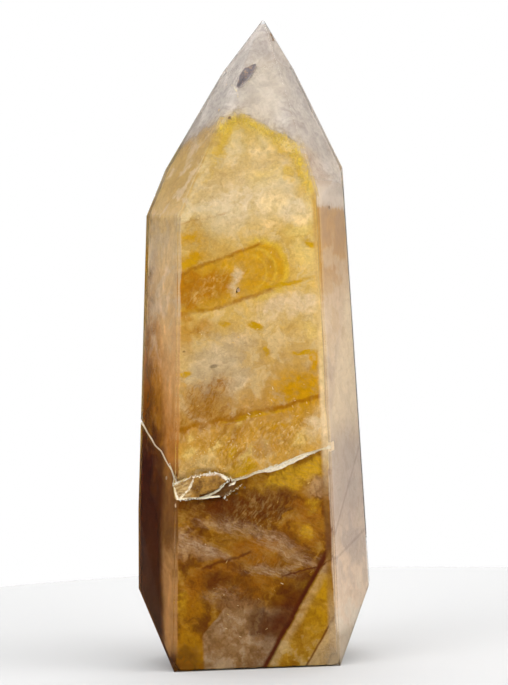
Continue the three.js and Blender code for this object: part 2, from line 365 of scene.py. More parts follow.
# Inside a break every point moves in or out a little, and along its rim only within the facet, so that
# the facets stay flat while the rim turns ragged. No point goes far enough to cross a line of its facet.
BREAK_CUTS = 3
BREAK_ROUGH, RIM_ROUGH = 0.14, 0.16
LUMPS_PER_M, CRUMBS_PER_M = 1700, 5200
FREE_SHARE = 0.3
TINY = 1e-9


def from_line(spot, start, end):
    """How far a place lies from the line between two others."""
    run = end - start
    share = min(max((spot - start).dot(run) / max(run.length_squared, TINY * TINY), 0), 1)
    return (spot - start - run * share).length


bpy.context.tool_settings.mesh_select_mode = (False, False, True)
choose(skin)
skin.data.polygons.foreach_set("select", [face.material_index == BROKEN for face in skin.data.polygons])
bpy.ops.object.mode_set(mode="EDIT")
bpy.ops.mesh.quads_convert_to_tris()
bpy.ops.mesh.subdivide(number_cuts=BREAK_CUTS)
bpy.ops.object.mode_set(mode="OBJECT")
on_break = set()
for face in skin.data.polygons:
    if face.material_index == BROKEN:
        on_break.update(face.vertices)
free = {}
for face in skin.data.polygons:
    corners = [skin.data.vertices[corner].co.copy() for corner in face.vertices]
    near_break = on_break.intersection(face.vertices)
    for first, second in face.edge_keys:
        start, end = skin.data.vertices[first].co, skin.data.vertices[second].co
        if face.material_index == BROKEN:
            for corner in (first, second):
                free[corner] = min(free.get(corner, math.inf), (end - start).length)
        elif near_break:
            for corner, spot in zip(face.vertices, corners):
                trio = (corner, first, second)
                if corner in trio[1:] or near_break.isdisjoint(trio):
                    continue
                gap = from_line(spot, start, end)
                for number in trio:
                    free[number] = min(free.get(number, math.inf), gap)
touching = {}
for face in skin.data.polygons:
    for corner in face.vertices:
        touching.setdefault(corner, []).append(face)
for vertex in skin.data.vertices:
    faces = touching[vertex.index]
    flat = [face.normal for face in faces if face.material_index == POLISHED]
    if len(flat) == len(faces):
        continue
    spread = noise.noise_vector(vertex.co * LUMPS_PER_M) + noise.noise_vector(vertex.co * CRUMBS_PER_M) * 0.6
    if flat:
        one_facet = all(normal.dot(flat[0]) > SAME_FACET for normal in flat)
        step = (spread - flat[0] * spread.dot(flat[0])) * RIM_ROUGH if one_facet else Vector()
    else:
        step = spread * BREAK_ROUGH
    step = step * MM
    step = step * min(1, FREE_SHARE * free[vertex.index] / max(step.length, TINY))
    moved = vertex.co + step
    vertex.co = [min(max(c, low), high) for c, low, high in zip(moved, *cad_box)]

# The cracks are bright. The hollow is golden brown, with bright torn edges, each a path of (x, z).
# The paths of the cracks on the left are (y, z).
TORN_PATHS = [
    [(-15.1, 39.1), (-14.4, 36.8), (-14.6, 35.3), (-14.1, 33.5), (-13.7, 32.4)],
    [(-13.7, 32.4), (-11.4, 32.5), (-9.8, 32.5), (-8.1, 32.6), (-5.9, 32.7)],
    [(-14.6, 35.3), (-13.3, 35.8), (-11.2, 36.6), (-9.6, 36.8), (-6.8, 37.3)],
    [(-6.8, 37.3), (-5.7, 37), (-4.7, 36.6), (-4.1, 36.1), (-3.2, 36.1)],
    [(-2.6, 35.9), (-4.1, 35.6), (-5.5, 34.5), (-5.8, 34), (-7.1, 33.3), (-8.4, 32.8), (-9.7, 32.5)],
    [(-13.3, 32.7), (-12.3, 33.6), (-11.4, 34.6), (-10.8, 36)],
]
TORN_WIDE = 0.24
CRACK_WIDE = 0.8
LEFT_CORNER_X = -13.9
FRONT_CRACK = [(-3.4, 35.6), (1.2, 37), (6.1, 38), (10.1, 39.7), (15.7, 41.4)]
SIDE_CRACKS = [[(0.3, 47.6), (-5.1, 43.7), (-10.8, 40), (-16.2, 35.4)], [(-1.4, 46.6), (5.6, 50.7)]]


def off_path(x, z, path):
    """How far a place lies from a path, in millimetres."""
    least = math.inf
    for (x1, z1), (x2, z2) in zip(path, path[1:]):
        run, rise = x2 - x1, z2 - z1
        share = ((x - x1) * run + (z - z1) * rise) / (run * run + rise * rise)
        share = min(max(share, 0), 1)
        least = min(least, math.hypot(x - x1 - run * share, z - z1 - rise * share))
    return least


torn_edge = skin.data.attributes.new(TORN, "FLOAT", "POINT")
for vertex in skin.data.vertices:
    x, y, z = vertex.co / MM
    gap = min(off_path(x, z, path) for path in TORN_PATHS)
    in_crack = off_path(x, z, FRONT_CRACK) < CRACK_WIDE
    on_left = x < LEFT_CORNER_X and min(off_path(y, z, path) for path in SIDE_CRACKS) < CRACK_WIDE
    in_crack = in_crack or on_left
    torn_edge.data[vertex.index].value = 1 if in_crack else math.exp(-((gap / TORN_WIDE) ** 2))
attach(skin, "root")
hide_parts("quartz_tower")


# The golden body: the part of the crystal that is full of iron stain and milky flaws. It fills the
# column almost to the polished skin, and ends under the point in the slopes of an older, smaller point.
# It is ground 1 mm past the foot, and cut off just above it once its faces have been made uneven.
FRONT = Vector((0, -0.999, 0.034))
RIGHT, LEFT = Vector((0.917, -0.399, 0.02)), Vector((-0.884, -0.465, 0.055))
BODY_INSET, SIDE_INSET = 1.45, 0.95
BODY_VOXEL = 0.5
FOOT_OVER, FOOT_GAP = 1, 0.12
DOWN = Vector((0, 0, -1))


def sunk(planes, inset, side_inset):
    """The same planes moved into the stone, apart from the foot, which moves out. Those that face the
    front have an inset of their own."""
    moved = []
    for normal, reach in planes:
        step = FOOT_OVER if normal.z < -0.9 else -inset if normal.y < -0.6 else -side_inset
        moved.append((normal, reach + step * MM))
    return moved


def through(a, b, c):
    """The plane through three places in millimetres, facing up."""
    a, b, c = Vector(a), Vector(b), Vector(c)
    normal = (b - a).cross(c - a).normalized()
    normal = normal if normal.z > 0 else -normal
    return normal, normal.dot(a) * MM


phantom = [
    through((-9.7, 2.5, 102.2), (-6.1, -6.2, 103.2), (0.6, -5, 106.9)),
    through((0.6, -5, 106.9), (12.1, -8, 99.5), (8, 6, 99)),
    through((12.1, -8, 99.5), (15, -11.3, 91), (18.6, -2.1, 88.1)),
    through((0.6, -5, 106.9), (-9.7, 2.5, 102.2), (6, 9, 95)),
]


def uneven(piece, voxel, lumps):
    """Turns a ground block into a dense mesh, lets its faces wander and cuts its foot off flat.
    Each of the lumps is (size, height) in millimetres."""
    finish_with(piece, "REMESH", mode="VOXEL", voxel_size=voxel * MM, use_smooth_shade=True)
    for size, rise in lumps:
        drift = bpy.data.textures.new("drift", "CLOUDS")
        drift.noise_scale = size * MM
        finish_with(piece, "DISPLACE", texture=drift, strength=rise * MM, mid_level=0.5)
        bpy.data.textures.remove(drift)
    choose(piece)
    bpy.ops.object.mode_set(mode="EDIT")
    bpy.ops.mesh.select_all(action="SELECT")
    cut_off((0, 0, FOOT_GAP * MM), DOWN)
    bpy.ops.object.mode_set(mode="OBJECT")


# A dent in its front keeps it clear of the hollow.
DENT, DENT_REACH = (-8.8, -16.6, 34.9), (8.6, 4.2, 4.4)
BODY_LUMPS = [(7, 0.5), (1.6, 0.2)]
body = ground_block("golden_body", sunk(facets, BODY_INSET, SIDE_INSET) + phantom)
bpy.ops.object.select_all(action="DESELECT")
bpy.ops.mesh.primitive_ico_sphere_add(subdivisions=4, radius=MM, location=Vector(DENT) * MM)
dent = bpy.context.object
choose(dent)
bpy.ops.transform.resize(value=DENT_REACH, center_override=dent.location)
bpy.ops.object.transform_apply(location=True, rotation=True, scale=True)
finish_with(body, "BOOLEAN", operation="DIFFERENCE", object=dent, solver="EXACT")
bpy.data.objects.remove(dent)
uneven(body, BODY_VOXEL, BODY_LUMPS)

# What lies under the skin is seen in this much light, and with a faint sheen over it.
LIGHT_INSIDE = 1.08
SHEEN = 0.012
DARKEST, PALEST = 0.001, 0.97


def seen(*rgb):
    """The colour that stone under the skin needs, to be seen as this one from outside."""
    return tuple(min(max(c - SHEEN, DARKEST) / LIGHT_INSIDE, PALEST) for c in rgb)


def bands(field, *stops):
    """Seen colours along a field that runs from 0 to 1, each as (position, red, green, blue)."""
    ramp = [(stop[0], seen(*stop[1:])) for stop in stops]
    return field.make("ShaderNodeValToRGB", {"Fac": field}, {"stops": ramp})


def layered(ground, *layers):
    """A colour under others, laid on in turn: each a seen (red, green, blue) or a field, and its share."""
    for shade, share in layers:
        ground = ground.blend(seen(*shade) if isinstance(shade, tuple) else shade, share)
    return ground


def strongest(fields):
    """The largest of several values at each place."""
    return functools.reduce(Field.either, fields)


def phantom_height(where):
    """How far a place lies above the golden body's end, in millimetres."""
    return strongest([where.along(normal) - reach / MM for normal, reach in phantom])


FRONT_Y, POINT_Y, FRONT_DEPTH = -14, -9, 9
SHOULDER = 90


def marks(where, patches, edge=0.35):
    """The strongest of some patches on the front, each as x, z, half width, half height, turn and
    strength, which is 1 where it is left out."""
    found = []
    for x, z, wide, high, turn, *strength in patches:
        centre = (x, FRONT_Y if z < SHOULDER else POINT_Y, z)
        found.append(where.patch(centre, (wide, FRONT_DEPTH, high), turn, edge) * (*strength, 1)[0])
    return strongest(found)


def eaten(patches, broken):
    """Patches whose soft edges a finer cloud eats into."""
    return (patches * (0.5 + broken * 1.1)).rise(0, 1.12)


def feathered(patches, edge=0.85, where=None, broken=None):
    """Feathered patches that drift with the stone's clouds, unless they are told to lie elsewhere."""
    return eaten(marks(where or drifted, patches, edge), broken or mottle)


def above_sheet(where, ends, dip):
    """How far a place lies above a sheet that is seen as a line on the front, from one (x, z) to another,
    and that dips this many degrees."""
    (x1, z1), (x2, z2) = ends
    run = Vector((x2 - x1, 0, z2 - z1)).normalized()
    depth = Vector((0, math.cos(math.radians(dip)), math.sin(math.radians(dip))))
    facing = run.cross(depth).normalized()
    facing = facing if facing.z > 0 else -facing
    return where.along(facing) - facing.dot(Vector((x1, FRONT_Y, z1)))


stain, stain_shader, place = new_finish("golden_stain", {"Specular IOR Level": 0.05})
roam = place.sway(6.5, 4.4, 3, 0.5) + place.sway(1.3, 2.2, 5, 0.6)
drifted = place + roam
near = place + roam * 0.3
smoke = drifted.grain(5.5, 6, 0.58, 0.8).rise(0.34, 0.66)
mottle = drifted.grain(1.9, 6, 0.6).rise(0.3, 0.7)
fine = drifted.grain(0.8, 3, 0.6).rise(0.28, 0.72)
grit = (place + roam * 0.3).grain(0.34, 3, 0.7).rise(0.3, 0.7)
down_right = (place + roam * 0.5).stretched(-26, 7).grain(0.42, 5, 0.7).rise(0.43, 0.62)
up_right = (place + roam * 0.45).stretched(56, 3.4).grain(0.5, 6, 0.7).rise(0.45, 0.64)
upright = (place + roam * 0.45).stretched(105, 3.4).grain(0.5, 6, 0.7).rise(0.46, 0.64)
streaks = (place + roam * 0.3).stretched(90, 6).grain(1.8, 5).rise(0.3, 0.7)
across, depth, height = (place.along(axis) for axis in (X, Y, Z))

# The stone's colour from the foot up, where nothing marks it, with pale smoke and golden stain in it.
# A ramp of these colours runs from its first to its last in 100 mm of height.
RAMP = 0.01
BAND_DIP = (-0.21, -0.35, 1)
band = drifted.along(BAND_DIP) - BAND_DIP[1] * FRONT_Y
colour = bands(
    band * RAMP,
    (0.36, 0.67, 0.39, 0.08), (0.44, 0.61, 0.33, 0.05), (0.48, 0.52, 0.29, 0.07), (0.54, 0.56, 0.36, 0.12),
    (0.61, 0.6, 0.41, 0.15), (0.68, 0.68, 0.46, 0.13), (0.79, 0.64, 0.42, 0.11), (0.86, 0.68, 0.49, 0.22),
    (0.92, 0.69, 0.51, 0.26), (0.97, 0.66, 0.48, 0.2), (1, 0.62, 0.41, 0.1),
)
colour = colour.blend(seen(0.55, 0.33, 0.06), smoke.rise(0.55, 0, 0.45))
colour = colour.blend(seen(0.76, 0.62, 0.37), smoke.rise(0.5, 1, 0.4))
FRACTURE_DIP = (-0.29, -0.86, 1)
fracture = (place + roam * 0.1).along(FRACTURE_DIP) - CRACK_LEVEL

# A golden wedge lies between two old growth faces, dark on the left and rounded off on the right.
UPPER_LINE = [(-12.2, 74.4), (-0.2, 78.5)]
LOWER_LINE = [(-12.1, 66.5), (2.4, 70.1)]
near_gold = place + roam * 0.45
above_lower = above_sheet(near_gold, LOWER_LINE, 20)
wedge = above_sheet(near_gold, UPPER_LINE, 20).rise(0.5, -0.3) * above_lower.rise(-0.3, 0.4)
wedge = wedge * across.rise(4.6, 3)
wedge = wedge.either(marks(near_gold, [(4, 75.6, 4.9, 5.4, 0)], 0.1) * above_lower.rise(-0.6, 0.6))
amber = [(-10.4, 72.1, 3.8, 4.2, 5), (-5.2, 73, 3.6, 2.8, 15, 0.8), (-11.5, 66.6, 2, 1, 0, 0.6)]
arcs = []
for (x, z), half, wide, strength in (
    ((3.4, 75.6), (5.2, 9, 5.6), 0.9, 1),
    ((2.2, 75.2), (4.4, 9, 4.4), 0.5, 0.8),
    ((1.4, 75), (3.4, 9, 3.4), 0.4, 0.6),
):
    arcs.append((place + roam * 0.3).ring((x, FRONT_Y, z), half, 0, wide) * strength)
arcs = strongest(arcs) * across.rise(0.5, 3.5) * (0.4 + mottle * 0.6)
scars = marks(near_gold, [(-3.4, 73.4, 4.6, 2.6, 30), (-8.8, 70, 3.4, 1.8, 30, 0.8)], 0.8)
golden = [
    (-9.6, 81.6, 2.8, 2.8, 0, 0.6), (-10, 77.4, 2.8, 1.6, 20, 0.9), (10, 52.1, 5.1, 3.8, 8),
    (13.4, 57.9, 1.2, 2.4, 0, 0.9), (9.5, 93.2, 1.6, 1.6, 0, 0.8), (12.2, 94, 2.1, 3.9, 14),
    (9.2, 98.8, 3.6, 1.5, -36, 0.9), (4.9, 103, 2.8, 1, -30, 0.3), (-2.5, 100.4, 0.9, 7, -27),
    (-9.4, 97.4, 2.2, 4.6, -30, 0.6), (5.2, 45.9, 6.2, 1, 12, 0.7), (-4.5, 42.2, 2.6, 1.3, 20, 0.7),
    (6.5, 84.5, 3, 1, 20, 0.5),
]
cream = [
    (12.2, 78.2, 2.2, 3, 35, 0.9), (12.9, 63.6, 2.2, 1.8, 0, 0.6), (5, 66.8, 4, 1, 10, 0.6),
    (5, 92.5, 4, 2.5, 20, 0.5), (11, 82.9, 2.5, 1, 20), (11.8, 85.4, 2, 1.6, 0, 0.8),
    (10.4, 100.2, 1.8, 1.4, 0, 0.9), (-0.4, 40.4, 0.4, 1.6, -38), (-6.4, 42.1, 0.5, 1.8, -45),
    (-8.7, 39.4, 2.4, 0.8, 22, 0.8), (-11.5, 41.4, 1.4, 1.2, 0, 0.8), (10.2, 42.8, 1.4, 1.8, -10, 0.7),
    (3.7, 41.8, 0.4, 1.6, -35, 0.9), (-2.2, 46.1, 0.4, 1.2, -30, 0.8), (-11, 44.2, 1, 0.6, 20, 0.8),
]
pale = [
    (8.6, 68.6, 6.4, 2.2, 15), (1.1, 88.9, 7.4, 3.8, 0, 0.75), (10.2, 86.8, 3, 1.9, 0),
    (-1.3, 73.4, 0.9, 2.7, -15), (-1.9, 54.3, 2.8, 1.5, 35), (-5.8, 58.2, 4.4, 2.8, 15, 0.8),
    (12.9, 45.6, 2, 3.1, 0, 0.75), (-0.9, 62, 4.2, 1.8, 0, 0.5), (-11, 60.5, 2.5, 2, 10, 0.5),
]
cloud = [(-5.3, 56.3, 6.2, 4.8, 20), (-3.2, 61.4, 5.1, 2.4, 0, 0.7)]
brown = [
    (-7.9, 50.5, 4.6, 3.3, 20, 0.9), (-3.5, 47.7, 3.4, 1.1, 14), (-9, 64.2, 1.4, 0.8, 25, 0.9),
    (-10.7, 69.3, 2, 2, 0, 0.5), (-6.5, 52.6, 3.8, 1.7, 30, 0.8), (-12.6, 46.6, 1.8, 2.2, 0, 0.8),
    (3.4, 41.6, 4.4, 1.4, 20, 0.7), (-1.6, 44.4, 2.4, 0.9, 50, 0.7), (-3.1, 43.9, 0.7, 2.5, -22),
    (-1.7, 40.3, 0.5, 1.8, -32, 0.9), (-4.9, 45.3, 0.5, 1.8, -38, 0.9), (2.6, 42.9, 0.5, 2, -34, 0.8),
    (-8.1, 46.4, 1.2, 1, 10, 0.8), (-6.2, 51.4, 1.6, 1, 30, 0.9), (-8.9, 49.2, 1.4, 0.8, 15, 0.9),
    (5.3, 44.9, 0.5, 1.6, -40, 0.6),
]
yellow = [
    (-3.8, 65.3, 1.1, 0.55, -15), (2.3, 64.9, 1.8, 0.8, -20), (4, 59.9, 0.5, 0.9, 0, 0.8),
    (11.6, 59.5, 2.7, 0.55, 4), (-11.6, 56.1, 1.3, 0.6, 5), (-1.2, 37.9, 2.3, 1.4, 30),
    (13.3, 80.3, 1.6, 0.8, -30, 0.9), (-1.6, 102.2, 0.6, 4.4, -26, 0.9), (-3, 40.5, 0.8, 1.4, 0, 0.8),
    (-10.6, 76.9, 2.6, 0.7, 16, 0.6), (8.2, 72.6, 5.4, 0.45, 14, 0.8), (-7.4, 68, 2.2, 0.5, 12, 0.7),
    (1.5, 47.9, 6, 0.5, 11, 0.8),
]
bright_gold = bands(height * RAMP, (0.84, 0.57, 0.33, 0.008), (0.94, 0.62, 0.4, 0.06))
spots = [(-1, 71.7, 0.22, 0.6, -20), (-11.6, 60.4, 0.3, 0.2, 0, 0.6), (-6, 57.4, 0.8, 0.35, 10, 0.5)]
colour = layered(
    colour,
    ((0.6, 0.33, 0.02), wedge * (0.66 + mottle * 0.34)),
    ((0.43, 0.175, 0.004), feathered(amber, 0.35, near_gold) * 0.9),
    ((0.74, 0.52, 0.06), arcs * 0.8),
    ((0.78, 0.57, 0.2), up_right * scars * (0.2 + smoke * 0.6)),
    (bands(height * RAMP, (0.84, 0.57, 0.3, 0.008), (0.94, 0.62, 0.39, 0.07)), feathered(golden)),
    ((0.76, 0.56, 0.18), feathered(cream)),
    ((0.72, 0.565, 0.345), feathered(pale) * 0.9),
    ((0.54, 0.42, 0.25), feathered(cloud, 0.6, broken=1 - mottle) * 0.75),
    ((0.32, 0.13, 0.012), feathered(brown, broken=up_right * 0.7 + 0.2) * 0.85),
    (bright_gold, feathered(yellow, 0.5, place + roam * 0.45)),
    ((0.06, 0.03, 0.012), marks(place, spots)),
)

# Towards the point the stain turns from orange to yellow, and the colour on the left grows a little darker.
colour = colour.blend(colour * (1, 1.05, 1.14), height.rise(76, 86))
colour = colour * (1 - across.rise(0, -9, 0.09) * height.rise(76, 86))

# Above the open crack the stone is shattered into bright and dark slivers: the bright ones are partly
# painted glints off the broken sheets, the dark ones partly painted shade between them. The golden body's
# end is coated with stain, which thins out downwards.
shattered = marks(drifted, [(0.5, 42, 15, 4.4, 14)], 0.4) * fracture.rise(0, 1.2)
end = phantom_height(place + roam * 0.4)
clearer = [
    (6.1, 84.4, 3.1, 1.6, 30, 0.6), (-6.3, 102.9, 1.4, 1.8, -30, 0.3), (-10.1, 39.2, 2.9, 1.4, 10, 0.7),
    (-12.8, 37.6, 1.2, 1.6, 0, 0.6), (10.4, 100, 1.8, 1.4, 0), (11.5, 85.8, 2.4, 1.8, 0, 0.8),
    (6.2, 88.1, 2.7, 1.6, 0, 0.6), (4.7, 98.6, 2.7, 2, 0, 0.5),
]
aged = [(-7.8, 64.4, 2.7, 1.8, 10, 0.8), (-11.5, 63.2, 1.8, 2.9, 0), (-11.8, 54.1, 1.2, 2.4, 0, 0.6)]
colour = layered(
    colour,
    ((0.8, 0.6, 0.26), shattered * up_right * 0.5),
    ((0.34, 0.15, 0.012), shattered * upright * smoke.rise(0.7, 0.2) * 0.6),
    ((0.7, 0.5, 0.06), end.rise(-4, -0.8) * (0.15 + smoke * 0.55)),
    (bands(height * RAMP, (0.5, 0.68, 0.47, 0.2), (0.8, 0.9, 0.7, 0.36)), feathered(clearer) * 0.9),
    ((0.48, 0.25, 0.04), feathered(aged) * 0.8),
)

# Below the open crack the stone is dark amber, with pale wedges, veils and a few golden parts in it. Its
# darkness is partly the stone's own colour and partly painted shade where the crack's sheet keeps light from
# above off it, with painted shadow under the hollow and the crack.
# Dark amber patches, some of them painted shadow under the hollow, the crack and left of the diagonal sheet.
low_dark_and_shadow = [
    (-2.9, 27.6, 3.1, 2.4, 0, 0.8), (-4.4, 12.8, 2.4, 1.8, 0, 0.7), (-6.8, 31, 7.6, 1.7, -2),
    (2.7, 31.8, 5.2, 2.2, 15), (-1.4, 29.6, 3.6, 1.2, 10, 0.5), (6, 8.6, 2.2, 3.8, -25),
    (-10.9, 29.6, 2.6, 1, 0, 0.6), (9, 21.6, 3, 1.3, 20, 0.6), (3.2, 8.7, 3.7, 3, 0, 0.7),
    (1.2, 1.6, 2.4, 2.4, 0, 0.8), (-5, 18.9, 4.2, 0.9, 22, 0.8), (-7.3, 17, 2.7, 1.8, 14),
]
low_gold = [
    (11.6, 29.6, 2.9, 2.5, 0, 0.9), (-0.1, 22.6, 3.9, 2, 10), (1.7, 20.5, 3.5, 1.2, 0, 0.8),
    (-8.8, 17.3, 5.6, 2.1, 20), (-12.2, 13.4, 2.7, 2.4, 0, 0.9), (-1.6, 15.4, 5.4, 2.4, 0, 0.7),
    (9.7, 25.5, 3.1, 2.2, 0), (9.3, 30.6, 2, 1.2, 10, 0.8),
]
low_bright = [
    (8.8, 36.2, 7.2, 2, 18), (12, 30.4, 1.8, 1.8, 0, 0.6), (9.7, 25.5, 2.2, 1.6, 0, 0.55),
    (-13.9, 13.1, 1, 2.7, 0, 0.6),
]
low_foot = [(-10.1, 13, 2.4, 2.4, 0, 0.6), (-12.5, 4.4, 2.7, 4.7, 0), (-13, 11.6, 1.6, 2.4, 0, 0.7)]
low_beige = [(12.7, 33.7, 2.4, 2, -20, 0.45), (-11.8, 22.9, 2.4, 2, 0, 0.4)]
low_mauve = [(-1.8, 11.6, 5.3, 1.9, -10, 0.9), (-9.4, 22.2, 3.3, 1.6, -22)]
low_pale = [
    (1.9, 25.2, 6.9, 1.1, -24, 0.9), (7.4, 21.2, 6, 1, -26), (-10.6, 23.8, 4, 1.2, -28),
    (-13, 24.8, 1.8, 2.2, -30, 0.9), (-7.3, 21.6, 2.8, 0.7, -20, 0.9), (3.2, 18.1, 4.8, 0.9, -8, 0.9),
    (8.9, 19.4, 4.3, 0.5, 14, 0.8), (-6.8, 14.4, 2.9, 1.3, 8, 0.5), (-9, 23.1, 2.7, 1, -24),
    (-12.5, 25.5, 1.6, 1.2, -30, 0.9), (-4.1, 26.5, 6, 0.9, -14, 0.8),
]
pale_low = marks(place + roam * 0.6, low_pale, 0.85)
fan = [(1.5, 29, 5.5, 3.4, 10), (-6, 14.6, 4, 2.4, 0, 0.4), (3.5, 19.5, 5, 1.6, -20, 0.7)]
low = bands(
    smoke * 0.7 + mottle * 0.3,
    (0.15, 0.16, 0.055, 0.006), (0.45, 0.25, 0.098, 0.008), (0.72, 0.34, 0.152, 0.016),
    (0.95, 0.44, 0.235, 0.045),
)
low = layered(
    low,
    ((0.135, 0.04, 0.003), feathered(low_dark_and_shadow) * 0.8),
    ((0.34, 0.125, 0.003), feathered(low_gold, broken=smoke * 0.6 + fine * 0.4)),
    ((0.62, 0.36, 0.024), feathered(low_bright, 0.6)),
    ((0.45, 0.205, 0.009), feathered(low_foot, 0.6, broken=smoke * 0.6 + fine * 0.4)),
    ((0.56, 0.36, 0.17), feathered(low_beige, 0.6)),
    ((0.36, 0.195, 0.08), feathered(low_mauve, 0.6) * 0.75),
    ((0.4, 0.235, 0.11), eaten(pale_low, mottle) * 0.6),
    ((0.6, 0.42, 0.25), pale_low * down_right * 0.7),
    ((0.54, 0.34, 0.12), marks(drifted, fan, 0.8) * up_right * 0.55),
    ((0.44, 0.25, 0.07), down_right * smoke.rise(0.3, 0.8, 0.32)),
    ((0.1, 0.028, 0.003), upright * smoke.rise(0.75, 0.3, 0.28)),
)

# Four sheets cut the foot: a pale block between two of them, and golden and beige stone to its right.
# Left of the diagonal sheet lies painted shadow.
DIAGONAL = [(15.6, 24), (0.9, -0.1)]
SECOND_DIAGONAL = [(15.6, 10.8), (8.8, -0.1)]
corner = near.along((0.75, 0, -0.66)).rise(-12.1, -11.7) * near.along(Z).rise(12, 10.8)
corner = corner * across.rise(-10.3, -9.7)
block = bands(
    smoke * 0.5 + mottle * 0.5, (0.2, 0.28, 0.15, 0.055), (0.5, 0.38, 0.22, 0.1), (0.8, 0.48, 0.33, 0.19)
)
steady = place + roam * 0.12
right_of = above_sheet(steady, DIAGONAL, 35) * -1
beyond = above_sheet(steady, SECOND_DIAGONAL, 35) * -1
shadow_left_of_diagonal = right_of.rise(-5.2, -1.2, 0.85) * height.rise(22, 13) * (0.3 + height.rise(2, 9, 0.7))
right_gold = bands(
    smoke * 0.6 + mottle * 0.4, (0.2, 0.36, 0.165, 0.012), (0.5, 0.47, 0.25, 0.03), (0.8, 0.55, 0.36, 0.12)
)
rich = [(12.6, 14.6, 2.6, 2.6, 0), (11.6, 8.6, 2.2, 3.2, -20, 0.7)]
low = layered(
    low,
    (block, corner * 0.92),
    ((0.14, 0.045, 0.003), feathered([(-7.5, 16.9, 2.7, 1.6, 14)], 0.6) * 0.9),
    # This patch and the next layer are painted shadow left of the diagonal sheet.
    ((0.115, 0.045, 0.018), feathered([(2.2, 8.9, 3.3, 2.9, -10)], 0.6) * 0.9),
    ((0.12, 0.035, 0.006), shadow_left_of_diagonal),
    (right_gold, right_of.rise(0, 0.35)),
    ((0.5, 0.265, 0.014), feathered(rich, 0.6) * 0.9),
    ((0.18, 0.07, 0.02), feathered([(13.8, 18.9, 1.6, 2, 0)], 0.6) * 0.8),
    ((0.56, 0.38, 0.19), right_of.rise(0.3, 0.8) * right_of.rise(2.4, 1, 0.6) * (0.4 + mottle * 0.6)),
    ((0.54, 0.37, 0.17), beyond.rise(0, 0.35, 0.85)),
)
# The darker stone below the crack's sheet stands partly for painted shade from that sheet.
colour = colour.blend(low, fracture.rise(0.25, -0.25))


def iron_line(ends, dip, wide, low_end, high_end, strength, wander=0.5):
    """A thin sheet of iron, seen where it meets the body, between two distances across the front."""
    off = abs(above_sheet(place + roam * wander, ends, dip))
    reach = across.rise(low_end - 1.5, low_end) * across.rise(high_end + 1.5, high_end)
    return off.rise(wide, wide * 0.15) * reach * strength


lines = [
    iron_line(LOWER_LINE, 20, 0.6, -30, 5, 0.7),
    iron_line(UPPER_LINE, 20, 0.5, -30, 3, 0.75),
    iron_line([(-14.2, 45.1), (14.3, 50.7)], 22, 0.6, -30, 30, 1),
    iron_line([(-12.2, 83.6), (-3, 86)], 20, 0.3, -30, -3, 0.4),
]
dark_lines = [
    iron_line(DIAGONAL, 35, 0.75, -5, 30, 1, 0.12),
    iron_line([(-8.2, 19.6), (0.5, 22.4)], 30, 0.42, -9, -1, 0.75),
    iron_line(SECOND_DIAGONAL, 35, 0.3, 0, 30, 0.75, 0.12),
    iron_line([(6.3, 17.5), (15.5, 19.8)], 30, 0.26, 6.5, 30, 0.85),
]
patchy = place.grain(3).rise(0.36, 0.58)
colour = colour.blend(seen(0.36, 0.15, 0.004), strongest(lines) * (0.4 + patchy * 0.6))
colour = colour.blend(seen(0.11, 0.028, 0.004), strongest(dark_lines))

# The right facet looks into milky grey-pink stone, and the left one into streaked beige over brown. On the
# left the dark brown low down and towards its outer edge is partly painted shade of a hand that held it.
look = place.make("ShaderNodeNewGeometry", {}, output="Normal")
lifted = (height + (smoke - 0.5) * 6) * RAMP
right = bands(
    lifted,
    (0.06, 0.92, 0.77, 0.6), (0.14, 0.92, 0.7, 0.48), (0.22, 0.66, 0.48, 0.33), (0.3, 0.54, 0.41, 0.3),
    (0.38, 0.62, 0.5, 0.4), (0.45, 0.6, 0.44, 0.3), (0.53, 0.82, 0.62, 0.38), (0.61, 0.94, 0.74, 0.45),
    (0.7, 0.9, 0.69, 0.41), (0.81, 0.66, 0.42, 0.17), (0.92, 0.6, 0.45, 0.28),
)
ragged = height + (mottle - 0.5) * 6
slant = height - depth * 1.82 + (streaks - 0.5) * 3
cream_side = slant.rise(75, 71) * ragged.rise(75, 69) * height.rise(30, 42)
right_lines = abs((near.along((0, -1.09, 1)) - 41)).rise(0.6, 0.1, 0.75)
right_lines = right_lines.either(abs(near.along((0, -0.266, 1)) - 24.1).rise(0.35, 0.05, 0.6))
right = layered(
    right,
    ((0.64, 0.41, 0.15), depth.rise(-9, -12, 0.7) * height.rise(36, 48)),
    ((0.92, 0.73, 0.45), cream_side * 0.9),
    ((0.46, 0.32, 0.2), smoke.rise(0.55, 0.1, 0.45)),
    ((0.62, 0.35, 0.07), ragged.rise(75, 79) * depth.rise(1, -4, 0.85)),
    ((0.66, 0.55, 0.42), up_right * smoke.rise(0.4, 0.9, 0.45)),
    ((0.27, 0.17, 0.12), right_lines),
)
left = bands(
    lifted + (streaks - 0.5) * 0.03 + (mottle - 0.5) * 0.05,
    (0.1, 0.2, 0.08, 0.025), (0.28, 0.14, 0.045, 0.006), (0.37, 0.12, 0.033, 0.002),
    (0.43, 0.21, 0.06, 0.003), (0.49, 0.46, 0.17, 0.012), (0.56, 0.62, 0.27, 0.04), (0.63, 0.76, 0.44, 0.19),
    (0.7, 0.82, 0.58, 0.34), (0.8, 0.86, 0.65, 0.43), (0.86, 0.74, 0.52, 0.25), (0.9, 0.54, 0.36, 0.11),
)
strip_colour = bands(
    lifted,
    (0.05, 0.72, 0.37, 0.13), (0.17, 0.76, 0.4, 0.14), (0.24, 0.3, 0.13, 0.035), (0.33, 0.34, 0.14, 0.04),
    (0.43, 0.68, 0.27, 0.05), (0.5, 0.84, 0.44, 0.15), (0.62, 0.92, 0.6, 0.29), (0.8, 0.92, 0.68, 0.38),
    (0.9, 0.6, 0.4, 0.13),
)
strip = (across + height.rise(44, 20, 1.6)).rise(-16.4, -14.8) * (height + (streaks - 0.5) * 8).rise(-7, -2)
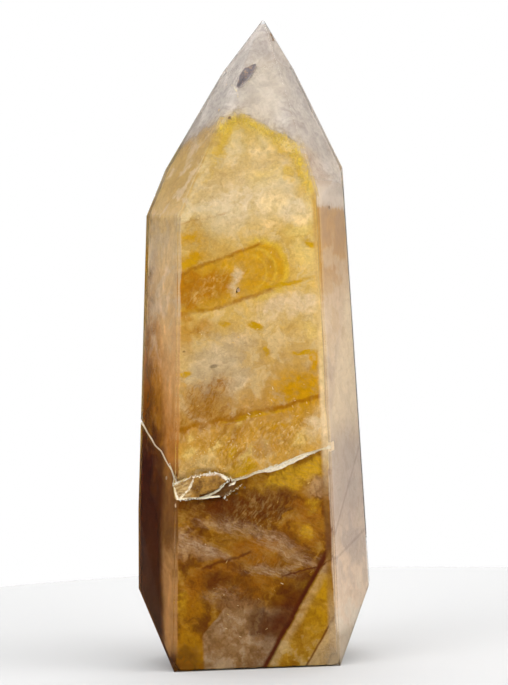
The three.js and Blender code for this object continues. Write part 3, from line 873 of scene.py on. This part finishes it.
left = left.blend(strip_colour, strip * 0.95)
left = left.blend(seen(0.88, 0.74, 0.56), smoke.rise(0.5, 0.95, 0.45) * height.rise(56, 64))
# Painted shade: darker towards the left face's outer edge.
left = left * (1 - across.rise(-17.6, -20, 0.5))
left = left.blend(seen(0.46, 0.22, 0.04), streaks.rise(0.6, 0.95, 0.1) * height.rise(20, 50))
rim = across.rise(13.5, 14.3) * depth.rise(-10.5, -12) * look.along(RIGHT).rise(0.9, 0.6)
rim_colour = bands(
    height * RAMP,
    (0.08, 0.48, 0.34, 0.19), (0.15, 0.36, 0.18, 0.03), (0.23, 0.17, 0.07, 0.03), (0.31, 0.3, 0.14, 0.03),
    (0.4, 0.72, 0.56, 0.34), (0.48, 0.82, 0.65, 0.4), (0.58, 0.72, 0.54, 0.26), (0.88, 0.52, 0.31, 0.08),
)

# Away from the front the stain gathers in large golden and brown clouds of its own.
behind = depth.rise(-7, -1) * look.along(FRONT).rise(0.6, 0.2)
behind_stain = drifted.grain(9, 5, 0.55).rise(0.5, 0.6)
behind_pale = drifted.grain(7, 5, 0.55, 1).rise(0.54, 0.66)
colour = layered(
    colour,
    (right, look.along(RIGHT).rise(0.62, 0.88, 0.96)),
    (rim_colour, rim * (0.7 + streaks * 0.3)),
    (left, look.along(LEFT).rise(0.62, 0.9, 0.92)),
    ((0.5, 0.25, 0.02), behind * behind_stain * (0.5 + mottle * 0.4)),
    ((0.66, 0.54, 0.36), behind * behind_pale * (0.4 + mottle * 0.4)),
)

# The long corners of the body are a little darker than its faces.
RIGHT_CORNER, LEFT_CORNER = (0.71, -0.7, 0.03), (-0.7, -0.7, 0.05)
corners = look.along(RIGHT_CORNER).rise(0.88, 0.97, 0.12) + look.along(LEFT_CORNER).rise(0.88, 0.97, 0.28)
colour = colour * (1 - corners)

# All of it is crossed by curling wisps of healed cracks: pale where they catch the light, brown between.
curled = place + place.sway(2.2, 4, 4, 0.6)
wispy = curled.grain(1.5, 7, 0.66, 1)
threads = curled.ridges(2.4, 7, 0.68)
calm = 1 - look.along(LEFT).rise(0.62, 0.9, 0.6) - look.along(RIGHT).rise(0.62, 0.9, 0.6)
calm = calm * (1 - height.rise(36, 45, 0.3))
glow = wispy.rise(0.5, 0.66, 0.34).either(threads.rise(1.2, 2, 0.6)) * calm
gloom = wispy.rise(0.5, 0.36, 0.42) * calm
colour = colour.blend(colour * 1.35 + seen(0.06, 0.045, 0.02), glow)
colour = colour.blend(colour * (0.62, 0.5, 0.35), gloom)
colour = colour * (0.87 + mottle * 0.14 + fine * 0.14 + grit * 0.09)
feed(stain_shader, Base_Color=colour, Normal=bumped(mottle, 0.12), Roughness=0.4 + mottle * 0.4)
body.data.materials.append(stain)
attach(body, "root")


# How near a crack the films and the veils start to thin out, and how near it they are gone.
CRACK_CLEAR = 1.1, 0.7


def near_breaks(where):
    """1 close to the open crack, the hollow and the pit, where nothing may hang in the stone."""
    hollow = where.patch((-8.4, -15.3, 35), (7.6, 4, 3.4), 0, 0.15)
    pit = where.patch((2.35, -3.5, 113.65), (2.9, 5, 0.95), 52, 0.1)
    off = abs(above_sheet(where, [(-3.4, 35.6), (15.7, 41.4)], 0))
    crack = off.rise(*CRACK_CLEAR) * where.along(Y).rise(-12, -13)
    low_end, high_end = Vector((-13.6, -16.1, 35.6)), Vector((-21, -0.6, 46.9))
    facing = (low_end - high_end).cross(LEFT).normalized()
    off = abs(where.along(facing) - facing.dot(high_end))
    left_crack = off.rise(*CRACK_CLEAR) * where.along(X).rise(-12.5, -13.5)
    return strongest([hollow, pit, crack, left_crack])


# Stain wisps: feathery golden films and pale threads in the clear stone just under the skin. They reach
# a little past the golden body's end, so that it ends in a soft fringe.
WISP_INSET, WISP_SIDE, FRINGE = 0.85, 0.48, 2.2
WISP_VOXEL = 0.7
WISP_LUMPS = [(4, 0.25)]
fringe_end = [(n, reach + FRINGE * MM) for n, reach in phantom]
wisps = ground_block("stain_wisps", sunk(facets, WISP_INSET, WISP_SIDE) + fringe_end)
uneven(wisps, WISP_VOXEL, WISP_LUMPS)
film, film_shader, place = new_finish("golden_wisps", {"Roughness": 0.5, "Specular IOR Level": 0.05})
sideways, deep, down = (place.along(axis) for axis in (X, Y, Z))
outward = place.make("ShaderNodeNewGeometry", {}, output="Normal")
curl = place + place.sway(4.5, 6, 4, 0.6)
bent = curl.along(X)
veins = curl.ridges(3.2, 6, 0.62)
hairs = (place + place.sway(2, 2.5)).stretched(40, 3).ridges(0.9, 4, 0.6)
above = phantom_height(place + place.sway(1.2, 3.4, 5, 0.65))
fringe = above.rise(1.3, -0.4) * above.rise(-3, -0.8)
here = place.grain(6, 3).rise(0.44, 0.58)
tufts = (place + place.sway(1.5, 2)).stretched(75, 4).grain(0.6, 5, 0.65)
cover = veins.rise(1.3, 2.1, 0.4) * here + hairs.rise(1.3, 2.1, 0.4) * (1 - here * 0.5)
cover = cover * above.rise(0.4, -1.2) + fringe * (0.25 + tufts.rise(0.4, 0.6, 0.6))
foot = curl.along(Z).rise(5, 0.5) * abs(bent - 1.2).rise(11.2, 13.4)
# Low on the left face's outer edge the film is dense and dark, partly painted shade of a hand.
foot = foot.either(sideways.rise(-16.8, -18.4) * down.rise(36, 28))
cover = cover.either(foot * 0.9)
right_side = outward.along(RIGHT).rise(0.6, 0.85)
edges = (bent.rise(15.5, 19.5) + bent.rise(-17, -20.5)).either(abs(sideways).rise(18.6, 20.6))
edges = edges.either(sideways.rise(13.4, 14.4) * right_side) * down.rise(96, 87)
cover = cover.either(edges * 0.9)
face = outward.along(FRONT).rise(0.55, 0.8)
column = abs(sideways).rise(13, 13.8) * abs(sideways).rise(17, 16.4)
cover = (cover * (0.35 + face * 0.65) * (1 - column * 0.8)).either(foot).either(edges)
gilt = bands(
    (down + (here - 0.5) * 6) * RAMP,
    (0.04, 0.3, 0.12, 0.015), (0.24, 0.36, 0.16, 0.01), (0.35, 0.42, 0.19, 0.005), (0.42, 0.76, 0.5, 0.1),
    (0.55, 0.72, 0.55, 0.28), (0.7, 0.74, 0.5, 0.1), (0.82, 0.76, 0.58, 0.24), (0.98, 0.74, 0.54, 0.08),
)
right_film = bands(
    (down + (here - 0.5) * 8) * RAMP,
    (0.06, 0.84, 0.7, 0.53), (0.14, 0.84, 0.63, 0.43), (0.26, 0.58, 0.44, 0.33), (0.38, 0.54, 0.42, 0.32),
    (0.46, 0.5, 0.37, 0.26), (0.61, 0.75, 0.57, 0.37), (0.73, 0.66, 0.45, 0.23), (0.8, 0.58, 0.32, 0.08),
    (0.9, 0.52, 0.3, 0.11),
)
slant = down - deep * 1.82 + (here - 0.5) * 3
cream_side = slant.rise(75, 71) * (down + (here - 0.5) * 6).rise(75, 69) * down.rise(40, 49)
long_line = curl.along((0, -1.09, 1)) * 0.06 + place.along((0, -1.09, 1)) * 0.94 - 41
right_lines = abs(long_line).rise(0.8, 0.1, 0.4)
right_lines = right_lines.either(abs(place.along((0, -0.266, 1)) - 24.1).rise(0.5, 0.05, 0.35))
right_film = layered(
    right_film,
    ((0.88, 0.7, 0.44), cream_side * 0.6),
    ((0.3, 0.19, 0.13), right_lines),
    ((0.72, 0.6, 0.48), (down + (tufts - 0.5) * 4).rise(86.7, 87.9)),
)
# The left film is darkest low down, partly painted shade of a hand.
left_film = bands(
    down * RAMP,
    (0.1, 0.11, 0.04, 0.006), (0.4, 0.09, 0.02, 0.002), (0.52, 0.32, 0.11, 0.01), (0.6, 0.44, 0.22, 0.1),
    (0.7, 0.5, 0.31, 0.16), (0.84, 0.6, 0.44, 0.26),
)
gilt = layered(
    gilt,
    (right_film, outward.along(RIGHT).rise(0.5, 0.9)),
    ((0.52, 0.39, 0.24), sideways.rise(10.5, 12.5) * down.rise(8, 5)),
    (left_film, outward.along(LEFT).rise(0.5, 0.9)),
)
film_smoke = curl.grain(1.8, 6, 0.66, 1).rise(0.34, 0.66)
gilt = gilt.blend(gilt * (0.84, 0.78, 0.7), film_smoke.rise(0.5, 0, 0.5))
gilt = gilt.blend(gilt * 1.16, film_smoke.rise(0.5, 1, 0.5))
feed(film_shader, Base_Color=gilt, Alpha=(cover * (1 - near_breaks(place))).least(0.85))
wisps.data.materials.append(film)
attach(wisps, "root")


# Milky veils: sheets of healed flaws and tiny bubbles that hang in the clear stone inside the point.
# They let part of the light through.
VEIL_LUMPS = [(5, 0.5), (1.4, 0.2)]
VEIL_START, TIP_START = 84, 112
VEIL_VOXEL, TIP_VOXEL = 0.8, 0.3


def veil(name, inset, cap_cover, start=VEIL_START, lumps=VEIL_LUMPS, voxel=VEIL_VOXEL):
    """A milky sheet that lies this far under the skin, from its start up, and this thick with milk."""
    sheet = ground_block(name, sunk(facets, inset, inset) + [(DOWN, -start * MM)])
    uneven(sheet, voxel, lumps)
    finish, shader, spot = new_finish(name + "_milk", {"Roughness": 0.6, "Specular IOR Level": 0.1})
    drift = spot + spot.sway(5, 4)
    smoke = drift.grain(4.5, 6, 0.6, 0.6).rise(0.34, 0.66)
    fine = drift.grain(0.8, 4, 0.65).rise(0.3, 0.7)
    above = phantom_height(spot + spot.sway(2.5, 2.4, 5))
    cover = above.rise(-1.5, 0.6) * (0.62 + smoke * 0.24 + fine * 0.14) * cap_cover
    upward = spot.along(Z)
    cover = (cover + upward.rise(110, 123, 0.3)) * upward.rise(start + 0.6, start + 5)
    milk = [(0.1, 0.6, 0.53, 0.48), (0.5, 0.78, 0.7, 0.63), (0.85, 0.95, 0.88, 0.81)]
    colour = bands(smoke * 0.45 + fine * 0.55, *milk)
    warm = spot.patch((5.4, -5, 111), (4.6, 6, 7))
    colour = colour.blend(seen(0.96, 0.84, 0.66), warm * 0.5)
    outward = spot.make("ShaderNodeNewGeometry", {}, output="Normal")
    # Facing right, high in the point, the milk turns greyer: painted shade that tones down the light from the
    # right.
    shade = outward.along(RIGHT).rise(0.35, 0.9, 0.34) * upward.rise(90, 99)
    colour = colour.blend(seen(0.62, 0.5, 0.38), shade)
    feed(shader, Base_Color=colour, Alpha=(cover * (1 - near_breaks(spot))).least(0.92))
    sheet.data.materials.append(finish)
    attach(sheet, "root")


veil("milky_veil_tip", 0.24, 0.4, TIP_START, [(1.4, 0.1)], TIP_VOXEL)
veil("milky_veil_outer", 0.7, 0.66)
veil("milky_veil_middle", 2.7, 0.7)
veil("milky_veil_inner", 5.2, 0.85)


def front_skin(x, z):
    """How far back the skin lies on the front, in millimetres."""
    return max((reach / MM - n.x * x - n.z * z) / n.y for n, reach in facets if n.y < -0.9)


FLAKE_CORNERS = 5
FLAKE_THICK = 0.03


def scatter(name, places, small, large, longer, tones):
    """One piece made of many thin broken flakes, each with its place in millimetres."""
    corners, faces = [], []
    for centre in places:
        turn = Vector((draw.uniform(-0.6, 0.6), -1, draw.uniform(-0.6, 0.6))).normalized()
        side = turn.cross(Vector((draw.uniform(-1, 1), 0, draw.uniform(-1, 1)))).normalized()
        upward = turn.cross(side)
        size = draw.uniform(small, large)
        start = len(corners)
        for step in range(FLAKE_CORNERS):
            angle = math.tau * step / FLAKE_CORNERS
            out = size * draw.uniform(0.5, 1.4)
            corner = side * math.cos(angle) * longer + upward * math.sin(angle) / longer
            corners.append((centre + corner * out) * MM)
        faces.append(tuple(range(start, start + FLAKE_CORNERS)))
    mesh = bpy.data.meshes.new(name)
    mesh.from_pydata(corners, [], faces)
    flakes = bpy.data.objects.new(name, mesh)
    add_to_scene(flakes)
    finish_with(flakes, "SOLIDIFY", thickness=FLAKE_THICK * MM, offset=0)
    glint, shader, spot = new_finish(name + "_glint", {"Roughness": 0.25, "IOR": 1.6})
    colour = bands(spot.grain(1.5, 3).rise(0.35, 0.65), *tones)
    feed(shader, Base_Color=colour, Roughness=0.2 + spot.grain(0.4) * 0.3)
    flakes.data.materials.append(glint)
    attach(flakes, "root")


# Flecks: small flakes of healed crack under the skin that flash pale or golden, most of them in the
# shattered stone above the open crack.
draw = random.Random(7)
FLECKS, SHATTERED_FLECKS = 170, 95
POINT_FROM, POINT_TOP, POINT_SPREAD = 88, 124, 40
fleck_places = []
for number in range(FLECKS):
    x = draw.uniform(-11.5, 12.5)
    shattered_one = number < SHATTERED_FLECKS
    z = draw.gauss(43, 3.2) + 0.22 * x if shattered_one else draw.uniform(6, 116)
    if z > POINT_FROM:
        x = x * (POINT_TOP - z) / POINT_SPREAD
    if z < 36 + 0.3 * x and shattered_one:
        z = 40 + 0.3 * x
    fleck_places.append(Vector((x, front_skin(x, z) + draw.uniform(0.85, 1.15), z)))
fleck_tones = [(0, 0.76, 0.46, 0.07), (0.5, 0.8, 0.58, 0.2), (1, 0.84, 0.7, 0.4)]
scatter("flecks", fleck_places, 0.06, 0.17, 2.2, fleck_tones)


# Splinters: crumbs of quartz still held in the open crack and round the hollow, bright where they broke.
IN_FRONT = -60


def on_skin(x, z, sunk_in):
    """The place where a ray from the front meets the skin, this many millimetres further in."""
    hit, spot, facing, face = skin.ray_cast(Vector((x, IN_FRONT, z)) * MM, Vector(Y))
    return spot / MM + Vector((0, sunk_in, 0))


crack_paths = [
    [(-2.6, 35.8), (1, 36.9), (4.8, 38.1), (9.4, 39.6), (15, 41.2)],
    [(2.6, 37.4), (7.4, 38.9), (11.6, 40.2)],
    [(-5.2, 32.4), (-4.2, 33.2), (-2.9, 33.9), (-1.5, 34.9)],
    [(-0.6, 112), (0.1, 111.1), (0.5, 109.5)],
]
splinter_places = []
strewn = [(path, 12, 0.1, 0.08) for path in TORN_PATHS] + [(path, 7, 0.12, 0.1) for path in crack_paths]
for path, per_mm, stray, deepest in strewn:
    for (x1, z1), (x2, z2) in zip(path, path[1:]):
        for number in range(round(math.hypot(x2 - x1, z2 - z1) * per_mm)):
            part = draw.random()
            x, z = x1 + (x2 - x1) * part, z1 + (z2 - z1) * part + draw.gauss(0, stray)
            splinter_places.append(on_skin(x, z, draw.uniform(-0.02, deepest)))
splinter_tones = [(0, 0.72, 0.56, 0.26), (0.5, 0.72, 0.66, 0.48), (1, 0.72, 0.7, 0.6)]
scatter("crack_splinters", splinter_places, 0.05, 0.16, 1.5, splinter_tones)


# The table, the light and the camera. The table is a plain pale top.
TABLE_RADIUS = 150 * MM
bpy.ops.object.select_all(action="DESELECT")
bpy.ops.mesh.primitive_circle_add(vertices=96, radius=TABLE_RADIUS, fill_type="NGON")
table = bpy.context.object
table.name = "table_top"
pale_top = {"Base Color": (0.46, 0.46, 0.46), "Roughness": 0.7, "Specular IOR Level": 0.2}
table.data.materials.append(new_finish("pale_table", pale_top)[0])
table.visible_glossy = False

world = bpy.data.worlds.new("studio")
bpy.context.scene.world = world
world.use_nodes = True
air = world.node_tree
backdrop = air.nodes["Background"]
backdrop.inputs["Color"].default_value = (1, 1, 1, 1)
backdrop.inputs["Strength"].default_value = 1
sky = Field(air.nodes.new("ShaderNodeTexCoord").outputs["Generated"])
ROOM, MIRRORED_MOST = 0.26, 0.9
# Each lamp and each dark panel is a way to look, where its edge starts and ends, and its strength.
lamps = [
    ((0.76, -0.63, 0.16), 0.76, 0.9, 5.4),
    ((-0.76, -0.63, 0.16), 0.78, 0.92, 6.4),
    ((0, 0.36, 0.93), 0.66, 0.82, 3.2),
    ((0.86, 0.5, 0.1), 0.7, 0.95, 0.5),
    (Y, 0.6, 0.95, 0.9),
]
panels = [((-0.82, 0.57, 0.05), 0.86, 0.97, 0.8), ((0, -1, 0), 0.9, 0.98, 0.9)]
brightness = ROOM
for way, *edge in lamps:
    brightness = brightness + sky.along(way).rise(*edge)
for way, *edge in panels:
    brightness = brightness * (1 - sky.along(way).rise(*edge))
# What the polish mirrors is kept plain: no lamp in it is brighter than the room.
mirrored = sky.make("ShaderNodeLightPath", {}, output="Is Glossy Ray")
mirrored = mirrored * (1 - sky.make("ShaderNodeLightPath", {}, output="Is Transmission Ray"))
brightness = brightness + (brightness.least(MIRRORED_MOST) - brightness) * mirrored
softbox = sky.make("ShaderNodeBackground", {"Strength": brightness})
seen_straight = sky.make("ShaderNodeLightPath", {}, output="Is Camera Ray")
joined = sky.make("ShaderNodeMixShader", {0: seen_straight, 1: softbox, 2: Field(backdrop.outputs[0])})
air.links.new(joined.socket, air.nodes["World Output"].inputs["Surface"])


def soft_light(name, place_mm, aim_mm, size_mm, power):
    """A rectangular lamp of this size in this place, turned to face another."""
    lamp = bpy.data.lights.new(name, "AREA")
    lamp.shape = "RECTANGLE"
    lamp.size, lamp.size_y = (side * MM for side in size_mm)
    lamp.energy = power
    holder = bpy.data.objects.new(name, lamp)
    add_to_scene(holder)
    holder.location = Vector(place_mm) * MM
    aim = Vector(aim_mm) * MM - holder.location
    holder.rotation_euler = aim.to_track_quat("-Z", "Y").to_euler()


soft_light("window", (1300, -300, 1700), (0, 0, 60), (900, 900), 12)

PIXEL_MM = 0.197
PHOTO_HEIGHT = 685
CAMERA = (1.78, -400.02, 61.65)
DISTANCE = 400
SENSOR = 36
ROLL_DEGREES = 2.17
eye = bpy.data.cameras.new("camera")
eye.sensor_width = SENSOR
eye.lens = SENSOR * DISTANCE / (PIXEL_MM * PHOTO_HEIGHT)
camera = bpy.data.objects.new("camera", eye)
add_to_scene(camera)
camera.location = Vector(CAMERA) * MM
camera.rotation_euler = (math.radians(90), math.radians(ROLL_DEGREES), 0)
bpy.context.scene.camera = camera
bpy.context.scene.view_settings.view_transform = "Standard"
cycles = bpy.context.scene.cycles
cycles.max_bounces = 16
cycles.transmission_bounces = 14
cycles.diffuse_bounces = 5
cycles.glossy_bounces = 6
cycles.transparent_max_bounces = 18
